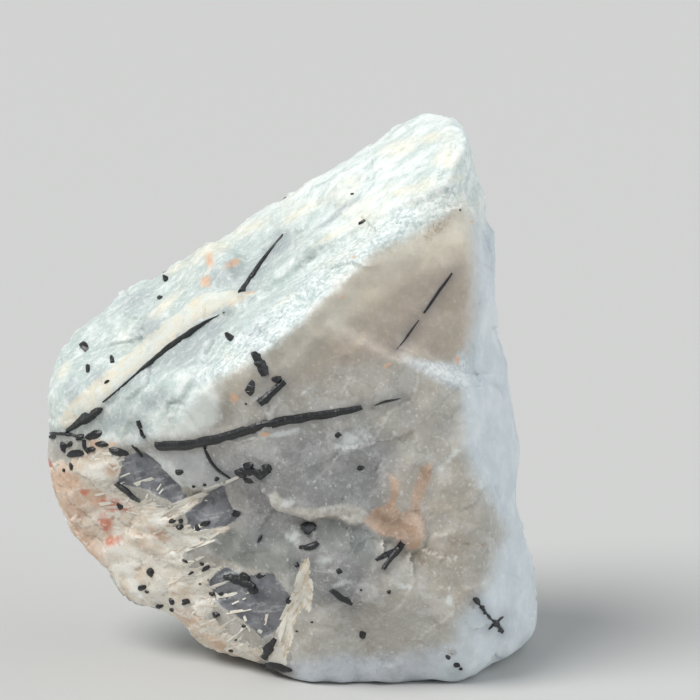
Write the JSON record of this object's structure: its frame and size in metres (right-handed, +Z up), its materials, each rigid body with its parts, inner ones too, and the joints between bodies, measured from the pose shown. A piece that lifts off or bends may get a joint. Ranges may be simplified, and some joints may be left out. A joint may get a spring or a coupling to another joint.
{
  "type": "rough moonstone",
  "caption": "Rough upright lump of milky white moonstone feldspar with dark tourmaline crystals set in its broken faces.",
  "frame": {"origin": "centre of the small flat spot that the stone rests on", "axes": "+Z up, +X to the right of the front face, +Y away behind it"},
  "size_m": [0.0793, 0.0465, 0.0873],
  "materials": {
    "moonstone": "rough broken faces, milky and softly translucent",
    "tourmaline": "black, glassy, finely grooved along its length"
  },
  "bodies": {
    "root": {"moonstone": "moonstone", "tourmaline_front_rod": "tourmaline", "tourmaline_front_branch": "tourmaline", "tourmaline_crease_rod": "tourmaline", "tourmaline_left_lens": "tourmaline", "tourmaline_upper_rod": "tourmaline", "tourmaline_right_needle": "tourmaline", "tourmaline_ridge_chunk": "tourmaline", "tourmaline_short_prism": "tourmaline", "tourmaline_middle_cluster": "tourmaline", "tourmaline_forked_rod": "tourmaline", "tourmaline_dark_cluster": "tourmaline", "tourmaline_foot_lens": "tourmaline", "tourmaline_lower_rod": "tourmaline", "tourmaline_corner_rod": "tourmaline"}
  },
  "joints": []
}
